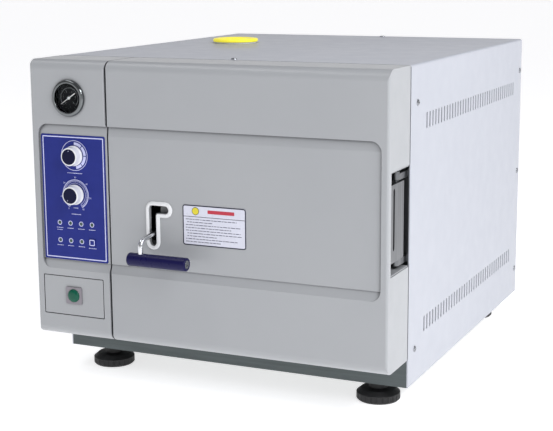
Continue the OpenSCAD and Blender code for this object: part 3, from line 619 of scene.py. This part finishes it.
def make_overlay_print():
    bm = bmesh.new()
    chance = random.Random(4)
    front, back = printed(OVERLAY_Y)
    low, high = OVERLAY_LOW, OVERLAY_HIGH
    i, w = BORDER_INSET, BORDER_W
    hoop(
        bm,
        rounded(low.x + i, low.z + i, high.x - i, high.z - i, mm(0.9)),
        rounded(low.x + i + w, low.z + i + w, high.x - i - w, high.z - i - w, mm(0.4)),
        front,
        back,
    )
    tx, tz = thermostat_at.x, thermostat_at.z
    hoop(bm, circle(tx, tz, mm(19.3)), circle(tx, tz, mm(18.6)), front, back)
    for start, end in ((0, 40), (44, 88), (92, 136), (140, 172)):
        sector(bm, tx, tz, mm(13.2), mm(16.9), start, end, front, back)
    dashes(bm, tx, tz - mm(22.4), mm(22), front, back, chance)
    mx, mz = timer_at.x, timer_at.z
    sector(bm, mx, mz, mm(18.4), mm(19.1), -150, 150, front, back)
    sector(bm, mx, mz, mm(14.1), mm(14.6), -150, 150, front, back)
    for step in range(61):
        angle = -150 + 5 * step
        inner = mm(14.6 if step in (0, 60) else 15.5 if step % 10 == 0 else 16.1)
        sector(bm, mx, mz, inner, mm(18.4), angle - 0.95, angle + 0.95, front, back)
    for step in range(7):
        x, z = on_dial(mx, mz, mm(21.6), -150 + 50 * step)
        numeral(bm, str(10 * step), x, z, mm(3.1), front)
    dashes(bm, mx, mz - mm(17.5), mm(7), front, back, chance)
    dashes(bm, mx, mz - mm(25.6), mm(14), front, back, chance)
    for x, z in lamp_places:
        hoop(bm, circle(x, z, LAMP_RING_R, 32), circle(x, z, LAMP_R, 32), front, back)
        dashes(bm, x, z - mm(6.6), mm(9.5), front, back, chance)
    dashes(bm, lamp_places[0][0], lamp_places[0][1] - mm(9.4), mm(8), front, back, chance)
    dashes(bm, key_at.x, key_at.z - mm(7.6), mm(11), front, back, chance)
    piece("overlay_print", bm, "lamp_ring", "housing")


def make_lamp_lenses():
    bm = bmesh.new()
    for x, z in lamp_places:
        place = facing_front(x, OVERLAY_Y, z)
        profile = [(0, mm(-8)), (mm(2.5), mm(-8)), (mm(2.5), mm(-0.1)), (mm(2.2), mm(0.12)),
                   (mm(1.5), mm(0.3)), (mm(0.7), mm(0.38)), (0, mm(0.4))]
        turned(bm, profile, place, 32)
    piece("lamp_lenses", bm, "lens_dark", "housing", ("indicator_lamps",))


def make_start_key():
    bm = bmesh.new()
    x, z = key_at.x, key_at.z
    half = (key_high.x - key_low.x) / 2
    front, rear = key_low.y, key_high.y
    steps = [(0, rear), (0, front + mm(0.5)), (mm(0.15), front + mm(0.2)), (mm(0.5), front)]
    rings = [
        [(px, y, pz) for px, pz in rounded(x - half + s, z - half + s, x + half - s, z + half - s, mm(1.6))]
        for s, y in steps
    ]
    rows = loops(bm, rings, False)
    bm.faces.new(rows[0])
    bm.faces.new(list(reversed(rows[-1])))
    piece("start_key_cap", bm, "key_pad", "start_push", ("start_key",), smooth=50)
    bm = bmesh.new()
    print_front, print_back = printed(front)
    o, i = half - mm(0.6), half - mm(1.7)
    hoop(bm, rounded(x - o, z - o, x + o, z + o, mm(1.4)), rounded(x - i, z - i, x + i, z + i, mm(0.7)),
         print_front, print_back)
    piece("start_key_print", bm, "lamp_ring", "start_push")


def make_knob(name, knob, cap, body):
    """White fluted knob with a navy disc let into its front."""
    low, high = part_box(knob)
    cap_low, cap_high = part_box(cap)
    x, z = (low.x + high.x) / 2, (low.z + high.z) / 2
    outer = (high.x - low.x) / 2
    disc_r = (cap_high.x - cap_low.x) / 2
    disc_front = OVERLAY_Y - cap_low.y
    front = disc_front - mm(0.3)
    place = facing_front(x, OVERLAY_Y, z)
    bm = bmesh.new()
    profile = [
        (0, OVERLAY_Y - high.y), (mm(3), OVERLAY_Y - high.y), (mm(3), mm(1.2)), (outer - mm(0.5), mm(1.2)),
        (outer, mm(1.6)), (outer, mm(3.4)), (outer - mm(0.4), mm(4.1)), (outer - mm(1.0), mm(4.6)),
        (outer - mm(1.1), mm(6)), (outer - mm(1.25), front - mm(1.4)), (outer - mm(1.4), front - mm(0.4)),
        (outer - mm(1.75), front - mm(0.05)), (outer - mm(2.1), front), (0, front),
    ]

    def flutes(a, radius, height):
        deep = mm(0.16) if mm(4.5) < height < front - mm(0.4) and radius > outer - mm(2) else 0
        return -deep * (0.5 + 0.5 * math.cos(36 * a))

    turned(bm, profile, place, 288, flutes)
    piece(name + "_knob_body", bm, "knob_white", body, (knob,), smooth=28)
    bm = bmesh.new()
    profile = [
        (0, front - mm(0.2)), (disc_r, front - mm(0.2)), (disc_r, disc_front - mm(0.2)),
        (disc_r - mm(0.2), disc_front - mm(0.06)), (disc_r - mm(0.7), disc_front - mm(0.01)),
        (disc_r - mm(2.2), disc_front), (0, disc_front),
    ]
    turned(bm, profile, place, 96)
    piece(name + "_knob_disc", bm, "knob_navy", body, (cap,))
    bm = bmesh.new()
    mark_front, mark_back = printed(cap_low.y)
    px, pz = on_dial(x, z, disc_r - mm(2.6), 0 if name == "thermostat" else 210)
    prism(bm, circle(px, pz, mm(0.55), 20), mark_front + PRINT_SUNK, mark_back)
    piece(name + "_knob_mark", bm, "lamp_ring", body)


# ---------------------------------------------------------------- gauge

def make_gauge():
    low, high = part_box("gauge_bezel")
    x, z = (low.x + high.x) / 2, (low.z + high.z) / 2
    outer = (high.x - low.x) / 2
    front = FACE_Y - low.y
    bm = bmesh.new()
    steps = [
        (mm(18.5), front - mm(1.3)), (mm(18.5), front - mm(0.5)), (mm(18.8), front - mm(0.12)),
        (mm(19.4), front), (mm(20.4), front - mm(0.06)), (mm(21.4), front - mm(0.45)),
        (mm(22.2), front - mm(1.1)), (outer - mm(0.2), front - mm(2.0)), (outer, front - mm(3.0)),
        (outer, mm(0)), (mm(20), mm(0)), (mm(20), front - mm(1.3)),
    ]
    loops(bm, [[(px, FACE_Y - h, pz) for px, pz in circle(x, z, r, 96)] for r, h in steps], True)
    piece("gauge_bezel_ring", bm, "chrome", "housing", ("gauge_bezel",), smooth=50)

    dial_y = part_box("gauge_dial")[0].y
    front, back = printed(dial_y)
    bm = bmesh.new()
    sector(bm, x, z, mm(12.6), mm(12.9), -135, 135, front, back)
    for step in range(41):
        angle = -135 + 270 * step / 40
        inner = mm(10.9 if step % 8 == 0 else 11.6 if step % 4 == 0 else 12.0)
        sector(bm, x, z, inner, mm(12.6), angle - 0.55, angle + 0.55, front, back)
    for step in range(6):
        px, pz = on_dial(x, z, mm(8.6), -135 + 54 * step)
        numeral(bm, str(step), px, pz, mm(2.9), front)
    piece("gauge_scale", bm, "scale_print", "housing")

    needle_low, needle_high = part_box("gauge_needle")
    y0, y1 = needle_low.y, needle_low.y + mm(0.6)
    rest = 236
    bm = bmesh.new()
    tip, tail = on_dial(x, z, mm(14), rest), on_dial(x, z, mm(11), rest + 180)
    side = (math.cos(math.radians(rest)), -math.sin(math.radians(rest)))
    outline = []
    for (px, pz), half in ((tip, mm(0.22)), (tail, mm(0.62))):
        across = (side[0] * half, side[1] * half)
        outline.append(((px + across[0], pz + across[1]), (px - across[0], pz - across[1])))
    prism(bm, [outline[0][0], outline[0][1], outline[1][1], outline[1][0]], y0, y1)
    hub = [(0, mm(-5.6)), (mm(0.7), mm(-5.6)), (mm(0.7), mm(-1)), (mm(1.9), mm(-0.8)),
           (mm(1.9), mm(-0.1)), (mm(1.4), mm(0.2)), (0, mm(0.25))]
    turned(bm, hub, facing_front(x, y0, z), 32)
    piece("gauge_pointer", bm, "pointer_white", "needle", ("gauge_needle",))


# ---------------------------------------------------------------- door

SLOT_W = mm(10)
TRIM_W = mm(5)


def slot_line(low, high, spread):
    """Outline of the L-shaped slot, spread outwards by a distance, from the trim's own box."""
    reach = SLOT_W / 2 + TRIM_W
    x, x_end = low.x + reach, high.x - reach
    z_low, z_high = low.z + reach, high.z - reach
    r = SLOT_W / 2 + spread
    fillet = max(mm(0.4), mm(3.0) - spread)
    points = [on_dial(x, z_low, r, 270 - 15 * i) for i in range(13)]
    cx, cz = x + r + fillet, z_high - r - fillet
    points += [on_dial(cx, cz, fillet, 270 + 15 * i) for i in range(7)]
    points += [on_dial(x_end, z_high, r, 180 - 15 * i) for i in range(13)]
    points += [on_dial(x, z_high, r, -15 * i) for i in range(7)]
    return points


def make_slot_trim():
    low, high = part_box("slot_trim")
    lift = high.y - low.y
    bm = bmesh.new()
    steps = [
        (mm(0.05), high.y + mm(0.3)), (mm(0.05), low.y + lift * 0.4), (mm(0.35), low.y + lift * 0.14),
        (mm(0.95), low.y), (TRIM_W * 0.5, low.y), (TRIM_W * 0.72, low.y + lift * 0.16),
        (TRIM_W * 0.88, low.y + lift * 0.5), (TRIM_W * 0.97, low.y + lift * 0.86), (TRIM_W, high.y + mm(0.3)),
    ]
    loops(bm, [[(px, y, pz) for px, pz in slot_line(low, high, s)] for s, y in steps], True)
    piece("slot_trim_bead", bm, "trim_pale", "door", ("slot_trim",), smooth=60)


PLATE_BORDER = mm(1.2)
PLATE_HEADER = mm(14.2)
PLATE_DISC_R = mm(4.3)
PLATE_ROW_STEP = mm(3.45)


def make_info_plate_print():
    """Dark border, a divider, a plain red bar, a yellow disc and rows of grey marks."""
    low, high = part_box("info_plate")
    front, back = printed(low.y)
    border = bmesh.new()
    w = PLATE_BORDER
    hoop(border, rounded(low.x, low.z, high.x, high.z, mm(3)),
         rounded(low.x + w, low.z + w, high.x - w, high.z - w, mm(1.9)), front, back)
    header = high.z - PLATE_HEADER
    divider = rounded(low.x + w / 2, header - mm(0.3), high.x - w / 2, header + mm(0.3), mm(0.1), 1)
    prism(border, divider, front, back)
    disc_x, disc_z = low.x + mm(17.5), header + mm(7)
    disc_line = circle(disc_x, disc_z, PLATE_DISC_R, 48)
    hoop(border, circle(disc_x, disc_z, PLATE_DISC_R + mm(0.6), 48), disc_line, front, back)
    piece("info_plate_border", border, "ink_dark", "door")
    disc = bmesh.new()
    prism(disc, disc_line, front, back)
    piece("info_plate_disc", disc, "ink_yellow", "door")
    bar = bmesh.new()
    bar_line = rounded(low.x + mm(34), disc_z - mm(2.2), low.x + mm(70), disc_z + mm(2.2), mm(0.8))
    prism(bar, bar_line, front, back)
    piece("info_plate_bar", bar, "ink_red", "door")
    rows = bmesh.new()
    chance = random.Random(9)
    ends = [72, 40, 78, 66, 77, 79, 45, 73, 52]
    for row, end in enumerate(ends):
        z = header - mm(3.4) - PLATE_ROW_STEP * row
        left = low.x + mm(6 if row in (1, 5, 6) else 4)
        stop = low.x + mm(end)
        while left < stop:
            right = min(stop + mm(1), left + mm(chance.uniform(2.0, 6.5)))
            prism(rows, rounded(left, z - mm(0.42), right, z + mm(0.42), mm(0.15), 1), front, back)
            left = right + mm(0.9)
    piece("info_plate_marks", rows, "ink_grey", "door")


def make_grip():
    low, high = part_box("handle_grip")
    radius = (high.z - low.z) / 2
    length = high.x - low.x
    place = Matrix.Translation((low.x, (low.y + high.y) / 2, (low.z + high.z) / 2)) @ Matrix.Rotation(
        math.radians(90), 4, "Y")
    profile = [(0, 0), (radius - mm(2.4), 0)]
    for i in range(1, 7):
        a = math.radians(15 * i)
        profile.append((radius - mm(2.4) + mm(2.4) * math.sin(a), mm(2.4) - mm(2.4) * math.cos(a)))
    for i in range(6, 0, -1):
        a = math.radians(15 * i)
        profile.append((radius - mm(1.6) + mm(1.6) * math.sin(a), length - mm(1.6) + mm(1.6) * math.cos(a)))
    profile += [(radius - mm(1.6), length), (mm(5.6), length), (mm(5.3), length - mm(0.4)),
                (mm(5.25), length - mm(2.8)), (0, length - mm(2.8))]
    bm = bmesh.new()
    turned(bm, profile, place, 96)
    piece("handle_grip_sleeve", bm, "grip_blue", "handle", ("handle_grip",), smooth=30)


# ---------------------------------------------------------------- switch and filler cap

def make_power_button():
    low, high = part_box("power_button")
    x, z = (low.x + high.x) / 2, (low.z + high.z) / 2
    radius = (high.x - low.x) / 2
    front = high.y - low.y
    place = facing_front(x, high.y, z)
    profile = [
        (0, 0), (radius, 0), (radius, front - mm(2.8)), (radius - mm(0.3), front - mm(2.0)),
        (radius - mm(1.0), front - mm(1.3)), (radius - mm(1.6), front - mm(1.1)),
        (radius - mm(2.2), front - mm(0.7)), (radius - mm(4.2), front - mm(0.15)), (0, front),
    ]

    def facets(a, r, height):
        share = 1 if height > front - mm(1.25) and r < radius - mm(1.4) else 0
        return share * mm(0.22) * math.cos(12 * a)

    bm = bmesh.new()
    turned(bm, profile, place, 96, facets)
    piece("power_button_lens", bm, "lens_green", "power_push", ("power_button",), smooth=40)


def make_filler_cap():
    """Low cap with a ribbed rim, a shallow dish and a finger bar across it."""
    low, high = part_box("filler_cap")
    x, y = (low.x + high.x) / 2, (low.y + high.y) / 2
    radius = (high.x - low.x) / 2
    top = high.z
    seat = top - mm(4.8)
    place = Matrix.Translation((x, y, 0))
    neck = mm(23.5)
    profile = [
        (0, low.z), (neck - mm(0.8), low.z), (neck, low.z + mm(0.8)), (neck, seat), (radius - mm(0.6), seat),
        (radius, seat + mm(0.5)), (radius, seat + mm(2.9)), (radius - mm(0.4), seat + mm(3.7)),
        (radius - mm(1.3), seat + mm(4.4)), (radius - mm(4), seat + mm(4.75)), (radius - mm(7.6), top),
        (radius - mm(8.4), top - mm(0.25)), (radius - mm(9.2), top - mm(0.8)), (0, top - mm(0.8)),
    ]

    def ribs(a, r, height):
        rim = r > radius - mm(0.3) and height > seat
        return -mm(0.45) * (0.5 + 0.5 * math.cos(48 * a)) if rim else 0

    bm = bmesh.new()
    turned(bm, profile, place, 384, ribs)
    bar = rounded(-mm(15), -mm(2.4), mm(15), mm(2.4), mm(2.3))
    rings = [
        [(x + bx * k, y + by * k, h) for bx, by in bar]
        for k, h in ((1, top - mm(1.1)), (1, top - mm(0.3)), (0.96, top - mm(0.02)))
    ]
    rows = loops(bm, rings, False)
    bm.faces.new(rows[0])
    bm.faces.new(list(reversed(rows[-1])))
    piece("filler_cap_moulding", bm, "cap_yellow", "cap", ("filler_cap",), smooth=40)


make_overlay_print()
make_lamp_lenses()
make_start_key()
make_knob("thermostat", "thermostat_knob", "thermostat_cap", "thermostat_dial")
make_knob("timer", "timer_knob", "timer_cap", "timer_dial")
make_gauge()
make_slot_trim()
make_info_plate_print()
make_grip()
make_power_button()
make_filler_cap()
